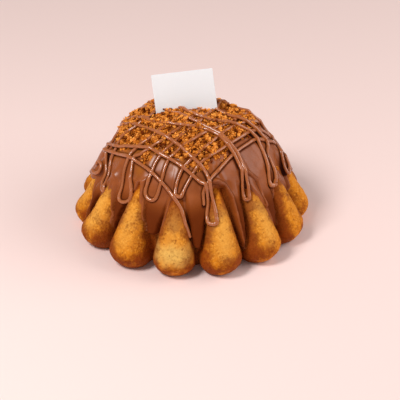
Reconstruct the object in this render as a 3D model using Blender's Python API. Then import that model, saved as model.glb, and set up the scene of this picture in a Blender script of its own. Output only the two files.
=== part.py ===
"""Fluted chocolate lava cake: sponge, poured chocolate coat with drizzle, paper card.

Metres, +Z up.  The origin is at the middle of the base, the front faces -Y.
Sizes below are in millimetres; MM turns them into metres when a mesh is made.
A place on the dome is given by its azimuth (0 at the front, growing towards +X)
and by its arc, the distance down the dome from the apex.
"""
import math

import bmesh
import bpy
import numpy as np

MM = 0.001

# ---- Whole cake -------------------------------------------------------------
DOME_RADIUS = 105.5          # reference dome at the floor, before the flutes
DOME_HEIGHT = 106.0          # top of the chocolate on the axis
DOME_ROUNDNESS = 1.2         # how soon the wall starts to lean in
DOME_FULLNESS = 0.42         # how square the shoulder is

# The cake's side and its shoulder are a little drawn in here and there: how far, by
# azimuth, and the heights where that starts, is full, starts to fade and is over.
SLUMP_AZIMUTHS = (-180, -150, -108, -60, 0, 60, 110, 180)
SLUMP = (0.0, 2.5, 5.0, 1.0, 0.0, 1.0, 1.8, 0.0)
SLUMP_HEIGHTS = (10.0, 32.0, 62.0, 92.0)
TOP_AZIMUTHS = (-180, -100, 0, 100, 118, 136, 180)
TOP_SLUMP = (0.0, -1.3, 0.0, -2.6, -0.4, 4.0, 2.0)
TOP_HEIGHTS = (50.0, 75.0, 88.0, 104.0)

# ---- Sponge -----------------------------------------------------------------
# The lobes are a little unevenly spaced.
LOBE_AZIMUTHS = (-113, -86, -64, -36.5, -9.5, 17.5, 44, 69, 92.5, 115.5, 142.5, 170, 197, 224)
LOBE_PUSH = (0, 0, 2.0, 1.5, -1.2, 0.3, 0.8, 1.6, 2.0, 1.0, 0, 1.0, 0, 0)   # how far out each foot stands
LOBE_PUSH_HEIGHTS = (14.0, 46.0)   # where the push starts to fade and is over
LOBE_LEAN = (0, 0, 3.0, 0, 0, 0, 0, 0, 0, 0, 0, 0, 0, 0)     # how far round each leans above its foot
LOBE_LEAN_HEIGHTS = (8.0, 32.0)    # where the lean starts and is full
BULB_HEIGHT = 17.0           # middle of the round foot of a lobe
BULB_RADIUS = 17.2
BULB_AXIS = 83.4             # distance of a foot's middle from the cake's axis
TURN_HEIGHT = 24.0           # from here down the foot turns in
TURN_RADIUS = 19.3
TURN_BLEND = 3.0
FOOT_REACH = (7.5, 2.0)      # what is left of that at the floor, outwards, and how late it turns
FOOT_WIDTH = (12.5, 2.6)     # the same sideways
LOBE_TIP_HEIGHT = 84.0       # where the lobes have faded into the dome
LOBE_TAPER = 1.25
LOBE_TIP_RADIUS = 4.0
GROOVE_DEPTH_TOP = 3.5       # sponge below the reference dome at the apex
GROOVE_DEPTH_BASE = 29.0     # added to that at the floor
SKIN_DEPTH = 3.2             # the lobes' crests under the chocolate

# ---- Chocolate coat ---------------------------------------------------------
GAP = 0.3                    # clearance between touching pieces
COAT_THICKNESS = 3.1
FLANK_THICKNESS = 1.7        # where it runs down beside a bare lobe
LIP_WIDTH = 4.0              # width over which the coat's edge rounds off
TONGUE_ROUNDING = 7.0        # of a tongue's lower end
# how much wider each gets in 60 mm upwards
DRIP_FLARE = (1.6, 1.7, 2.2, 1.0, 1.0, 1.0, 1.0, 1.0, 1.0, 1.0, 1.0, 1.0, 1.0, 1.0)
DRIP_TOP_ARC = 48.0
# The chocolate fills the grooves to this far below the dome, by height.
FILL_HEIGHTS = (0, 18, 26, 34, 42, 50, 58, 66, 74, 82, 106)
FILL_DEPTHS = (24.0, 14.5, 10.5, 7.8, 6.0, 4.8, 3.9, 2.9, 1.6, 0.4, 0.2)
# Height where each lobe comes out of the chocolate.
EDGE_HEIGHT = (22, 45, 60, 71, 66, 74, 67, 58, 45, 36, 50, 61, 46, 58)
# How far the top of the bare part stands off the lobe's middle, in degrees, and the
# heights between which that comes in.
EDGE_TURN = (0, 0, 2.0, -1.2, 0, 0, -1.8, -2.2, 0, 0, 0, 0, 0, 0)
EDGE_TURN_HEIGHTS = (15.0, 55.0)
EDGE_SLOPE = 3.0             # how steeply the bare part of a lobe widens
EDGE_TIP = 1.4
# For the groove after each lobe: drip tip height, half width, turn in degrees, and
# how proud the drip stands.
DRIPS = ((24, 8.0, 0, 1), (10, 7.5, 3.2, 6.2), (12, 6.5, 4.6, 2.5), (31, 9.0, 0, 0.8), (22, 7.0, 0.3, 0.6),
         (4, 3.4, 0.6, 2.8), (17, 9.0, -3.0, 1.2), (33, 8.0, 0, 0.5), (24, 7.0, 0, 0), (44, 6.0, 0, 0),
         (16, 6.0, 1, 0), (34, 8.5, 0, 0.6), (22, 5.0, -1, 0), (30, 7.0, 0, 0))
PROUD_HEIGHTS = (45.0, 62.0)   # over these the drips are level with the rest again
EVEN_EDGE = (-4.0, 9.0)      # round the cap's edge the coat thins from its full thickness
FILLET = 2.4                 # where the filled grooves meet the lobes
CRUMB_BED_ARC = 62.0         # how far the crumbs reach down from the apex
CRUMB_BED_HEIGHT = 1.4
CRUMB_LUMP = 0.9
HIDDEN_SLOPE = 1.0           # how steeply the poured form dives into the sponge
HIDDEN_DEPTH = 4.0

# ---- Drizzle ----------------------------------------------------------------
STRAND_RADIUS = 1.8
STRAND_SIDES = 5
STRAND_STEP = 20.0
SHOULDER_LIFT = 2.5          # the strands bunch up at the left shoulder
SHOULDER_PLACE = (-82, -2)
SHOULDER_REACH = 13.0
# Where each strand was poured, as places (right, back) of the apex on the unrolled
# dome.  A row of four is a hanging loop: the tops of its two legs with its lowest
# point between them, and the loop's width.
PASS_TO_RIGHT = (
    (0, -125), (-4, -113), (-8, -100), (-14, -89), (-30, -66), (-44, -51), (-55, -38), (-67, -25),
    ((-80, -9), (-87, 8), (-76, -4), 5),
    (-68, -15), (-59, -23), (-40, -35), (-28, -45), (-8, -60), (8, -72),
    ((15, -77), (24, -106), (19, -77), 8),
    (13, -65), (-4, -47), (-22, -30), (-36, -17),
    ((-47, -5), (-62, 18), (-49, 10), 6),
    (-38, -2), (-26, -13), (-8, -21), (11, -25), (30, -36),
    ((45, -54), (60, -76), (50, -55), 5),
    (41, -43), (30, -33), (16, -24), (-2, -12), (-24, 8),
    ((-44, 34), (-60, 58), (-36, 36), 9),
    (-14, 10), (8, -10), (28, -12), (45, -11), (56, -14),
    ((67, -25), (88, -46), (73, -21), 6),
    (70, -8), (48, -2), (27, 1), (6, 20),
    ((-18, 52), (-38, 84), (-8, 52), 12),
    (16, 32), (38, 24), (55, 22), (72, 22), (84, 14),
    ((91, 1), (107, -8), (97, 4), 5),
    (94, 16), (84, 30), (62, 36), (36, 37), (12, 50), (2, 74), (4, 100),
)
PASS_TO_BACK = (
    (-66, 92), (-58, 62), (-55, 38), (-64, 20), (-76, 8),
    (-83, -10), (-90, -17), (-95, -29), (-97, -41), (-94, -47), (-91, -42), (-88, -34), (-83, -25),
    (-77, -17),
    (-62, -9), (-50, -7), (-34, 2), (-24, 24),
    ((-24, 60), (-26, 98), (-12, 58), 13),
    (-4, 26), (-9, -6), (-24, -20), (-36, -28), (-48, -31),
    ((-57, -37), (-72, -73), (-53, -41), 15),
    (-44, -39), (-32, -37), (-20, -31), (-2, -14), (10, 14),
    ((16, 56), (16, 98), (30, 54), 14),
    (24, 18), (8, -14), (-10, -34), (-22, -43),
    ((-28, -50), (-42, -81), (-20, -54), 14),
    (-14, -48), (0, -37), (16, -25), (34, -8), (48, 18),
    ((56, 42), (72, 72), (66, 36), 13),
    (58, 12), (40, -8), (21, -32), (5, -50),
    ((-8, -62), (-13, -84), (3, -65), 7),
    (15, -52), (30, -38), (44, -21), (60, 0),
    ((76, 14), (104, 34), (86, 12), 12),
    (72, -2), (57, -17), (40, -40), (27, -57), (18, -70), (12, -80), (13, -92),
)
CURL = (
    (-105, -6), (-103, -14), (-98, -18), (-93, -14), (-94, -8), (-99, -8),
)

# ---- Card -------------------------------------------------------------------
CARD_WIDTH = 52.0
CARD_HEIGHT = 36.0
CARD_THICKNESS = 0.8
CARD_TILT = 7.0              # right side up, in degrees
CARD_LEAN = 12.0             # top away from the front, in degrees
CARD_CORNER = (22.6, 5.0, 107.0)   # its lower right corner

# ---- Meshing ----------------------------------------------------------------
COLUMNS_PER_LOBE = 10
RING_HEIGHTS = (0, 4.5, 10, 17, 25, 34, 44, 54, 64, 73, 82, 90.5, 98, 104)
HALF_ABOVE = 60.0            # rings over this height have half the columns
QUARTER_ABOVE = 80.0         # and over this height a quarter
OUTER_FOOT_HEIGHT = 4.5      # the poured form ends here, inside the sponge


def smooth_step(low, high, value):
    t = np.clip((value - low) / (high - low), 0.0, 1.0)
    return t * t * (3.0 - 2.0 * t)


def smooth_max(a, b, width):
    mix = np.clip(0.5 + 0.5 * (a - b) / width, 0.0, 1.0)
    return b + (a - b) * mix + width * mix * (1.0 - mix)


def round_edge(distance, width):
    """Rounded rise from 0 at an edge to 1 at width inside it."""
    return np.sin(np.clip(distance / width, 0.0, 1.0) * math.pi / 2.0)


# ---- Reference dome ---------------------------------------------------------
def dome_radius(height):
    level = (np.clip(height, 0.0, DOME_HEIGHT) / DOME_HEIGHT) ** DOME_ROUNDNESS
    return DOME_RADIUS * np.clip(1.0 - level, 0.0, None) ** DOME_FULLNESS


MERIDIAN_Z = DOME_HEIGHT * np.sin(np.linspace(math.pi / 2.0, 0.0, 500))
MERIDIAN_R = dome_radius(MERIDIAN_Z)
MERIDIAN_ARC = np.concatenate(
    ([0.0], np.cumsum(np.hypot(np.diff(MERIDIAN_R), np.diff(MERIDIAN_Z)))))


def arc_at_height(height):
    return np.interp(-np.asarray(height, float), -MERIDIAN_Z, MERIDIAN_ARC)


def dome_frame(arc):
    """Radius and height on the dome, and the outward direction there."""
    radius = np.interp(arc, MERIDIAN_ARC, MERIDIAN_R)
    height = np.interp(arc, MERIDIAN_ARC, MERIDIAN_Z)
    ahead = np.clip(arc + 1.0, 0.0, MERIDIAN_ARC[-1])
    behind = np.clip(arc - 1.0, 0.0, MERIDIAN_ARC[-1])
    along_r = np.interp(ahead, MERIDIAN_ARC, MERIDIAN_R) - np.interp(behind, MERIDIAN_ARC, MERIDIAN_R)
    along_z = np.interp(ahead, MERIDIAN_ARC, MERIDIAN_Z) - np.interp(behind, MERIDIAN_ARC, MERIDIAN_Z)
    # The walls are displaced level, the top along its normal.
    out_r = -along_z
    out_z = along_r * smooth_step(25.0, 75.0, height)
    length = np.hypot(out_r, out_z)
    return radius, height, out_r / length, out_z / length


def dome_point(azimuth, arc, rise):
    radius, height, out_r, out_z = dome_frame(arc)
    radius = radius + rise * out_r
    return np.stack((radius * np.sin(azimuth), -radius * np.cos(azimuth), height + rise * out_z), -1)


# ---- Sponge form ------------------------------------------------------------
def lobe_azimuths():
    return np.radians(LOBE_AZIMUTHS)


def groove_azimuths():
    lobes = lobe_azimuths()
    after = np.append(lobes[1:], lobes[0] + 2.0 * math.pi)
    return (lobes + after) / 2.0


def turn_between(azimuth, other):
    return (azimuth - other + math.pi) % (2.0 * math.pi) - math.pi


def height_band(height, heights):
    start, full, fade, end = heights
    return smooth_step(start, full, height) * (1.0 - smooth_step(fade, end, height))


def side_slump(azimuth, height):
    turn = np.degrees(turn_between(azimuth, 0.0))
    side = height_band(height, SLUMP_HEIGHTS) * np.interp(turn, SLUMP_AZIMUTHS, SLUMP)
    return side + height_band(height, TOP_HEIGHTS) * np.interp(turn, TOP_AZIMUTHS, TOP_SLUMP)


def groove_depth(height):
    return GROOVE_DEPTH_TOP + GROOVE_DEPTH_BASE * np.clip(1.0 - height / DOME_HEIGHT, 0.0, 1.0) ** 2


def turned_in(height, foot, power):
    drop = np.clip((TURN_HEIGHT - height) / TURN_HEIGHT, 0.0, 1.0)
    return np.sqrt(TURN_RADIUS ** 2 - (TURN_RADIUS ** 2 - foot ** 2) * drop ** power)


def lobe_radius(height):
    fade = np.clip((LOBE_TIP_HEIGHT - height) / (LOBE_TIP_HEIGHT - BULB_HEIGHT), 0.0, None)
    tapered = LOBE_TIP_RADIUS + (BULB_RADIUS - LOBE_TIP_RADIUS) * fade ** LOBE_TAPER
    return -smooth_max(-tapered, -turned_in(height, *FOOT_WIDTH), TURN_BLEND)


def sponge_rise(azimuth, arc):
    """Height of the sponge over the reference dome."""
    radius, height, _, _ = dome_frame(arc)
    width = lobe_radius(height)
    crest = -SKIN_DEPTH * smooth_step(52.0, 76.0, height)
    foot = BULB_AXIS + turned_in(height, *FOOT_REACH) - radius
    crest = -smooth_max(-crest, -foot, TURN_BLEND)
    leans = np.radians(LOBE_LEAN)
    upper = smooth_step(*LOBE_LEAN_HEIGHTS, height)
    axes = zip(lobe_azimuths(), leans)
    turns = np.abs([turn_between(azimuth, lobe + lean * upper) for lobe, lean in axes])
    push = np.array(LOBE_PUSH)[np.argmin(turns, axis=0)]
    crest = crest + push * (1.0 - smooth_step(*LOBE_PUSH_HEIGHTS, height))
    axis = radius + crest - width
    reach = width ** 2 - (axis * np.min(turns, axis=0)) ** 2
    bulge = np.sqrt(np.abs(reach)) * np.where(reach > 0.0, 1.0, -1.5)
    lobe = crest - width + bulge
    return smooth_max(lobe, -groove_depth(height), 3.0) - side_slump(azimuth, height)


# ---- Coat form --------------------------------------------------------------
def cap_distance(azimuth, arc):
    """How far inside the even upper part of the chocolate a place is."""
    lobes = lobe_azimuths()
    turns = np.concatenate((lobes - 2 * math.pi, lobes, lobes + 2 * math.pi))
    return np.interp(azimuth, turns, arc_at_height(np.tile(EDGE_HEIGHT, 3))) - arc


def tongue_distance(azimuth, arc):
    """The same with the tongues that run down the grooves, and how proud they stand."""
    radius, _, _, _ = dome_frame(arc)
    inside = cap_distance(azimuth, arc)
    proud = np.zeros_like(arc)
    for middle, (tip_height, half_width, turn, stand), flare in zip(groove_azimuths(), DRIPS, DRIP_FLARE):
        across = radius * turn_between(azimuth, middle + math.radians(turn))
        tip_middle = float(arc_at_height(tip_height)) - half_width
        above = np.clip(tip_middle - arc, 0.0, None)
        below = np.clip(arc - tip_middle, 0.0, None)
        drip = half_width * (1.0 + flare * above / 60.0) - np.hypot(across, below)
        inside = np.where(arc < DRIP_TOP_ARC, inside, smooth_max(inside, drip, 2.5))
        proud = proud + stand * np.exp(-(across / half_width) ** 2)
    return inside, proud


def bare_distance(azimuth, arc):
    """Distance outside the bare lower part of the lobes."""
    radius, height, _, _ = dome_frame(arc)
    distance = np.full_like(arc, 1e3)
    upper = smooth_step(*EDGE_TURN_HEIGHTS, height)
    for edge, lobe, turn in zip(arc_at_height(EDGE_HEIGHT), lobe_azimuths(), np.radians(EDGE_TURN)):
        across = radius * turn_between(azimuth, lobe + turn * upper)
        away = np.sqrt(across ** 2 + EDGE_TIP ** 2)
        spread = np.sqrt(1.0 + (EDGE_SLOPE * across / away) ** 2)
        notch = (edge + EDGE_SLOPE * (away - EDGE_TIP) - arc) / spread
        distance = -smooth_max(-distance, -notch, 1.5)
    return distance


def crumb_relief(azimuth, arc):
    bed = 1.0 - smooth_step(0.75 * CRUMB_BED_ARC, CRUMB_BED_ARC, arc)
    right = arc * np.sin(azimuth)
    back = -arc * np.cos(azimuth)
    lumps = np.sin(0.61 * right + 1.3) * np.sin(0.53 * back + 0.4) + 0.6 * np.sin(0.37 * (right - back))
    return bed * (CRUMB_BED_HEIGHT + CRUMB_LUMP * lumps)


def coat_rise(azimuth, arc):
    """Height of the chocolate over the reference dome; inside the sponge below its edge."""
    _, height, _, _ = dome_frame(arc)
    tongues, proud = tongue_distance(azimuth, arc)
    bare = bare_distance(azimuth, arc)
    inside = np.minimum(tongues, bare)
    sponge = sponge_rise(azimuth, arc)
    even = smooth_step(*EVEN_EDGE, cap_distance(azimuth, arc))
    thickness = FLANK_THICKNESS + (COAT_THICKNESS - FLANK_THICKNESS) * even
    skin = sponge + thickness * round_edge(inside, LIP_WIDTH)
    depth = groove_depth(height)
    level = depth - np.interp(height, FILL_HEIGHTS, FILL_DEPTHS)
    level = level + proud * (1.0 - smooth_step(*PROUD_HEIGHTS, height))
    level = level * round_edge(tongues, TONGUE_ROUNDING) * round_edge(bare + 1.5, 3.0)
    coat = smooth_max(skin, level - depth - side_slump(azimuth, height), FILLET)
    hidden = sponge - np.clip(-HIDDEN_SLOPE * inside, 0.0, HIDDEN_DEPTH)
    return np.where(inside > 0.0, coat, hidden)


def topped_rise(azimuth, arc):
    """The chocolate with its bed of crumbs."""
    return coat_rise(azimuth, arc) + crumb_relief(azimuth, arc)


# ---- Meshes -----------------------------------------------------------------
def mesh_object(name, points, faces, material):
    mesh = bpy.data.meshes.new(name)
    mesh.from_pydata([tuple(p) for p in np.asarray(points) * MM], [], faces)
    mesh.validate()
    made = bpy.data.objects.new(name, mesh)
    bpy.context.scene.collection.objects.link(made)
    if material:
        mesh.materials.append(material)
    return made


def ring_faces(lower, upper):
    """Triangles between two rings, where the upper one may have half as many points."""
    count = len(lower)
    faces = []
    if len(upper) == count:
        for i in range(count):
            j = (i + 1) % count
            faces.append((lower[i], lower[j], upper[j]))
            faces.append((lower[i], upper[j], upper[i]))
        return faces
    for i in range(len(upper)):
        j = (i + 1) % len(upper)
        a, b, c = lower[2 * i], lower[2 * i + 1], lower[(2 * i + 2) % count]
        faces.append((a, b, upper[i]))
        faces.append((b, upper[j], upper[i]))
        faces.append((b, c, upper[j]))
    return faces


def column_azimuths():
    """Evenly many columns to each lobe, from the middle of one lobe to the next."""
    lobes = np.append(LOBE_AZIMUTHS, LOBE_AZIMUTHS[0] + 360.0)
    places = np.arange(len(LOBE_AZIMUTHS) * COLUMNS_PER_LOBE) / COLUMNS_PER_LOBE
    return np.radians(np.interp(places, np.arange(len(LOBE_AZIMUTHS) + 1), lobes))


def dome_solid(name, rise, foot_height, material=None):
    """Closed solid whose skin lies rise(azimuth, arc) over the reference dome."""
    columns = column_azimuths()
    points = []
    rings = []
    for height in RING_HEIGHTS:
        if height < foot_height:
            continue
        thinning = 4 if height > QUARTER_ABOVE else 2 if height > HALF_ABOVE else 1
        turns = columns[::thinning]
        arc = np.full(len(turns), float(arc_at_height(height)))
        ring = dome_point(turns, arc, rise(turns, arc))
        if height == foot_height:
            ring[:, 2] = foot_height
        rings.append(list(range(len(points), len(points) + len(ring))))
        points.extend(ring)
    faces = []
    for lower, upper in zip(rings, rings[1:]):
        faces.extend(ring_faces(lower, upper))
    apex_rise = float(np.mean(rise(columns[::20], np.full(len(columns[::20]), 0.5))))
    points.append((0.0, 0.0, DOME_HEIGHT + apex_rise))
    top = len(points) - 1
    last = rings[-1]
    faces.extend((last[i], last[(i + 1) % len(last)], top) for i in range(len(last)))
    points.append((0.0, 0.0, foot_height))
    bottom = len(points) - 1
    first = rings[0]
    faces.extend((first[(i + 1) % len(first)], first[i], bottom) for i in range(len(first)))
    return mesh_object(name, points, faces, material)


def smooth_curve(points, step):
    """Smooth curve through the points (Catmull-Rom), sampled about every step."""
    points = np.asarray(points, float)
    ends = np.vstack((2 * points[0] - points[1], points, 2 * points[-1] - points[-2]))
    samples = []
    for a, b, c, d in zip(ends, ends[1:], ends[2:], ends[3:]):
        pieces = max(1, int(round(np.linalg.norm(c - b) / step)))
        for t in np.arange(pieces) / pieces:
            samples.append(0.5 * (2 * b + (c - a) * t + (2 * a - 5 * b + 4 * c - d) * t * t
                                  + (3 * b - 3 * c + d - a) * t ** 3))
    samples.append(points[-1])
    return np.array(samples)


def strand_path(rows):
    """Path of one strand over the unrolled dome, with its hanging loops drawn round."""
    path = []
    for row in rows:
        if len(row) == 2:
            path.append(np.array(row, float))
            continue
        leg_in, bottom, leg_out = (np.array(place, float) for place in row[:3])
        width = row[3]
        hang = bottom - (leg_in + leg_out) / 2.0
        hang = hang / np.linalg.norm(hang)
        across = np.array((hang[1], -hang[0]))
        side = 1.0 if np.dot(leg_in - leg_out, across) > 0.0 else -1.0
        offset = side * across * width / 2.0
        path.append(leg_in)
        path.append(bottom + offset - hang * width * 0.5)
        path.append(bottom + offset * 0.5)
        path.append(bottom - offset * 0.5)
        path.append(bottom - offset - hang * width * 0.5)
        path.append(leg_out)
    return path


def strand_points(path, lift):
    """Centre line of a strand: the path laid on the coat, bridging small dips."""
    curve = smooth_curve(path, STRAND_STEP)
    arc = np.hypot(curve[:, 0], curve[:, 1])
    azimuth = np.arctan2(curve[:, 0], -curve[:, 1])
    rise = np.maximum(coat_rise(azimuth, arc), sponge_rise(azimuth, arc) + GAP)
    away = np.linalg.norm(curve - np.array(SHOULDER_PLACE), axis=1)
    rise = rise + lift + SHOULDER_LIFT * np.exp(-(away / SHOULDER_REACH) ** 2)
    eased = rise.copy()
    for i in range(1, len(rise) - 1):
        eased[i] = max(rise[i], 0.5 * rise[i] + 0.25 * (rise[i - 1] + rise[i + 1]))
    return dome_point(azimuth, arc, eased)


def strand_solid(name, centres, radius):
    """Tube of few sides along the centre line, closed at both ends."""
    centres = np.asarray(centres)
    forward = np.gradient(centres, axis=0)
    forward /= np.linalg.norm(forward, axis=1)[:, None]
    outward = centres - np.array((0.0, 0.0, 30.0))
    side = np.cross(forward, outward)
    side /= np.linalg.norm(side, axis=1)[:, None]
    up = np.cross(side, forward)
    points = []
    faces = []
    for i, centre in enumerate(centres):
        for k in range(STRAND_SIDES):
            angle = math.pi / 2.0 + 2.0 * math.pi * k / STRAND_SIDES
            points.append(centre + radius * (math.cos(angle) * side[i] + math.sin(angle) * up[i]))
    for i in range(len(centres) - 1):
        for k in range(STRAND_SIDES):
            j = (k + 1) % STRAND_SIDES
            a, b = i * STRAND_SIDES + k, i * STRAND_SIDES + j
            faces.append((a, b, b + STRAND_SIDES, a + STRAND_SIDES))
    last = (len(centres) - 1) * STRAND_SIDES
    faces.append(tuple(range(STRAND_SIDES))[::-1])
    faces.append(tuple(last + k for k in range(STRAND_SIDES)))
    return mesh_object(name, points, faces, None)


def face_outward(item):
    work = bmesh.new()
    work.from_mesh(item.data)
    bmesh.ops.recalc_face_normals(work, faces=work.faces)
    work.to_mesh(item.data)
    work.free()


def settle_modifiers(item):
    """Replace the object's mesh by its evaluated one and drop the modifiers."""
    graph = bpy.context.evaluated_depsgraph_get()
    result = bpy.data.meshes.new_from_object(item.evaluated_get(graph))
    item.modifiers.clear()
    item.data = result


def keep_main_body(item):
    """Drop loose scraps and sealed pockets."""
    work = bmesh.new()
    work.from_mesh(item.data)
    left = set(work.faces)
    bodies = []
    while left:
        stack = [left.pop()]
        body = set(stack)
        while stack:
            for edge in stack.pop().edges:
                for face in edge.link_faces:
                    if face in left:
                        left.discard(face)
                        body.add(face)
                        stack.append(face)
        bodies.append(body)
    bodies.sort(key=len, reverse=True)
    for body in bodies[1:]:
        bmesh.ops.delete(work, geom=list(body), context="FACES")
    loose = [v for v in work.verts if not v.link_faces]
    bmesh.ops.delete(work, geom=loose, context="VERTS")
    bmesh.ops.triangulate(work, faces=work.faces)
    work.to_mesh(item.data)
    work.free()


def join_drizzle(coat):
    """Fuse every drizzle strand onto the poured form with one union."""
    strands = bpy.data.collections.new("drizzle")
    bpy.context.scene.collection.children.link(strands)
    passes = (
        ("strand_to_back", PASS_TO_BACK, 0.3),
        ("strand_to_right", PASS_TO_RIGHT, 0.9),
        ("curl", CURL, 0.6),
    )
    for name, rows, lift in passes:
        centres = strand_points(strand_path(rows), lift)
        strand = strand_solid(name, centres, STRAND_RADIUS)
        face_outward(strand)
        bpy.context.scene.collection.objects.unlink(strand)
        strands.objects.link(strand)
    union = coat.modifiers.new("fuse_drizzle", "BOOLEAN")
    union.operation = "UNION"
    union.solver = "EXACT"
    union.operand_type = "COLLECTION"
    union.collection = strands
    settle_modifiers(coat)
    for strand in list(strands.objects):
        bpy.data.objects.remove(strand, do_unlink=True)
    bpy.data.collections.remove(strands)


def cut_away(item, cutter):
    cut = item.modifiers.new("cut", "BOOLEAN")
    cut.operation = "DIFFERENCE"
    cut.solver = "MANIFOLD"
    cut.object = cutter
    settle_modifiers(item)
    bpy.data.objects.remove(cutter, do_unlink=True)


# ---- Materials --------------------------------------------------------------
def plain_material(name, colour, roughness):
    made = bpy.data.materials.new(name)
    made.use_nodes = True
    shader = made.node_tree.nodes["Principled BSDF"]
    shader.inputs["Base Color"].default_value = (*colour, 1.0)
    shader.inputs["Roughness"].default_value = roughness
    shader.inputs["Metallic"].default_value = 0.0
    return made


def sponge_material():
    return plain_material("baked_sponge", (0.62, 0.29, 0.07), 0.75)


def chocolate_material():
    return plain_material("milk_chocolate", (0.27, 0.11, 0.05), 0.35)


def paper_material():
    return plain_material("white_card", (0.86, 0.88, 0.90), 0.6)


# ---- Pieces -----------------------------------------------------------------
def make_sponge():
    sponge = dome_solid("sponge", sponge_rise, 0.0, sponge_material())
    face_outward(sponge)
    return sponge


def sponge_clearance(azimuth, arc):
    return sponge_rise(azimuth, arc) + GAP


def card_box(name, clearance, material=None):
    """The card, or its slot, turned about its lower right corner."""
    left, low = -CARD_WIDTH - clearance, -clearance
    right, high = clearance, CARD_HEIGHT + clearance
    half = CARD_THICKNESS / 2.0 + clearance
    tilt = math.radians(CARD_TILT)
    lean = math.radians(CARD_LEAN)
    points = []
    for depth in (-half, half):
        for across, rise in ((left, low), (right, low), (right, high), (left, high)):
            x = across * math.cos(tilt) - rise * math.sin(tilt)
            z = across * math.sin(tilt) + rise * math.cos(tilt)
            y = depth * math.cos(lean) + z * math.sin(lean)
            z = z * math.cos(lean) - depth * math.sin(lean)
            points.append((CARD_CORNER[0] + x, CARD_CORNER[1] + y, CARD_CORNER[2] + z))
    faces = [(0, 1, 2, 3), (7, 6, 5, 4), (0, 4, 5, 1), (1, 5, 6, 2), (2, 6, 7, 3), (3, 7, 4, 0)]
    made = mesh_object(name, points, faces, material)
    face_outward(made)
    return made


def make_coat():
    coat = dome_solid("chocolate_coat", topped_rise, OUTER_FOOT_HEIGHT, chocolate_material())
    face_outward(coat)
    join_drizzle(coat)
    hollow = dome_solid("sponge_room", sponge_clearance, 0.0)
    face_outward(hollow)
    cut_away(coat, hollow)
    cut_away(coat, card_box("card_slot", GAP))
    keep_main_body(coat)
    return coat


def make_card():
    return card_box("card", 0.0, paper_material())


def clear_scene():
    for item in list(bpy.data.objects):
        bpy.data.objects.remove(item, do_unlink=True)


def main():
    clear_scene()
    make_sponge()
    make_coat()
    make_card()
    for item in bpy.data.objects:
        item.data.shade_smooth()
        item.data.set_sharp_from_angle(angle=math.radians(50.0))
        print(item.name, "triangles", sum(len(p.vertices) - 2 for p in item.data.polygons))


main()
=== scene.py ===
import math

import bmesh
import bpy
import numpy as np
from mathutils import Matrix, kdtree


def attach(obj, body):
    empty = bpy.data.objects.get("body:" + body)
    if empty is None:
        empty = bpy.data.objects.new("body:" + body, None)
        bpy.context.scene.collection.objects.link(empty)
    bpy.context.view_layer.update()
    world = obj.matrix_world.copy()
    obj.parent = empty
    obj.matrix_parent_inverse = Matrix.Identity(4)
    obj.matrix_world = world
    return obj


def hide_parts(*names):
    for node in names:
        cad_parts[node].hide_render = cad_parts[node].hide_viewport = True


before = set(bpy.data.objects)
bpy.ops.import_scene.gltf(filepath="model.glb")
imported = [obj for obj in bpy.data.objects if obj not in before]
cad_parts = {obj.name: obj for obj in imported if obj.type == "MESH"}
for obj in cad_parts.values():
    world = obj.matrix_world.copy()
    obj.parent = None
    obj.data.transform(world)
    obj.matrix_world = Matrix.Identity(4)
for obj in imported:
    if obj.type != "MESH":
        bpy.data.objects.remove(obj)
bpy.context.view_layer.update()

mm = 0.001
far = 1000.0    # further than anything on the cake
scene = bpy.context.scene
print("frame loaded:", sorted(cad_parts))

# Sizes are in millimetres until a mesh is made. A place on the cake is an azimuth
# (0 at the front, growing to the right) and an arc, the way down from the apex.
dome = {
    "radius": 105.5,
    "height": 106.0,
    "roundness": 1.2,      # how soon the wall leans in
    "fullness": 0.42,      # how square the shoulder is
    "samples": 500,
    "sideways": (25.0, 75.0),  # a rise points sideways below the first height, outwards above the second
    # how far the sides and the shoulder have sunk, by azimuth in degrees, and in which band of heights
    "slumpAt": (-180, -150, -108, -60, 0, 60, 110, 180),
    "slump": (0.0, 2.5, 5.0, 1.0, 0.0, 1.0, 1.8, 0.0),
    "slumpBand": (10.0, 32.0, 62.0, 92.0),
    "topSlumpAt": (-180, -100, 0, 100, 118, 136, 180),
    "topSlump": (0.0, -1.3, 0.0, -2.6, -0.4, 4.0, 2.0),
    "topSlumpBand": (50.0, 75.0, 88.0, 104.0),
}


def smoothStep(low, high, value):
    t = np.clip((value - low) / (high - low), 0.0, 1.0)
    return t * t * (3.0 - 2.0 * t)


def inBand(value, start, full, fading, end):
    return smoothStep(start, full, value) * (1.0 - smoothStep(fading, end, value))


def smoothMax(a, b, width):
    mix = np.clip(0.5 + 0.5 * (a - b) / width, 0.0, 1.0)
    return b + (a - b) * mix + width * mix * (1.0 - mix)


def roundEdge(distance, width):
    return np.sin(np.clip(distance / width, 0.0, 1.0) * math.pi / 2.0)


def lumps(points, size, seed, waves=24):
    # soft seeded relief around zero, its bumps about size apart
    draw = np.random.default_rng(seed)
    total = np.zeros(len(points))
    for _ in range(waves):
        direction = draw.normal(size=3)
        direction /= np.linalg.norm(direction)
        reach = 2.0 * math.pi * draw.uniform(0.7, 1.4) / size
        total += np.sin(points @ direction * reach + draw.uniform(0.0, 2.0 * math.pi))
    return total / math.sqrt(waves)


def layeredLumps(points, layers, seed):
    # lumps of several heights and sizes together
    return sum(high * lumps(points, size, seed + number) for number, (high, size) in enumerate(layers))


def domeRadius(height):
    level = (np.clip(height, 0.0, dome["height"]) / dome["height"]) ** dome["roundness"]
    return dome["radius"] * np.clip(1.0 - level, 0.0, None) ** dome["fullness"]


meridianZ = dome["height"] * np.sin(np.linspace(math.pi / 2.0, 0.0, dome["samples"]))
meridianR = domeRadius(meridianZ)
meridianArc = np.concatenate(([0.0], np.cumsum(np.hypot(np.diff(meridianR), np.diff(meridianZ)))))


def arcAtHeight(height):
    return np.interp(-np.asarray(height, float), -meridianZ, meridianArc)


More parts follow.
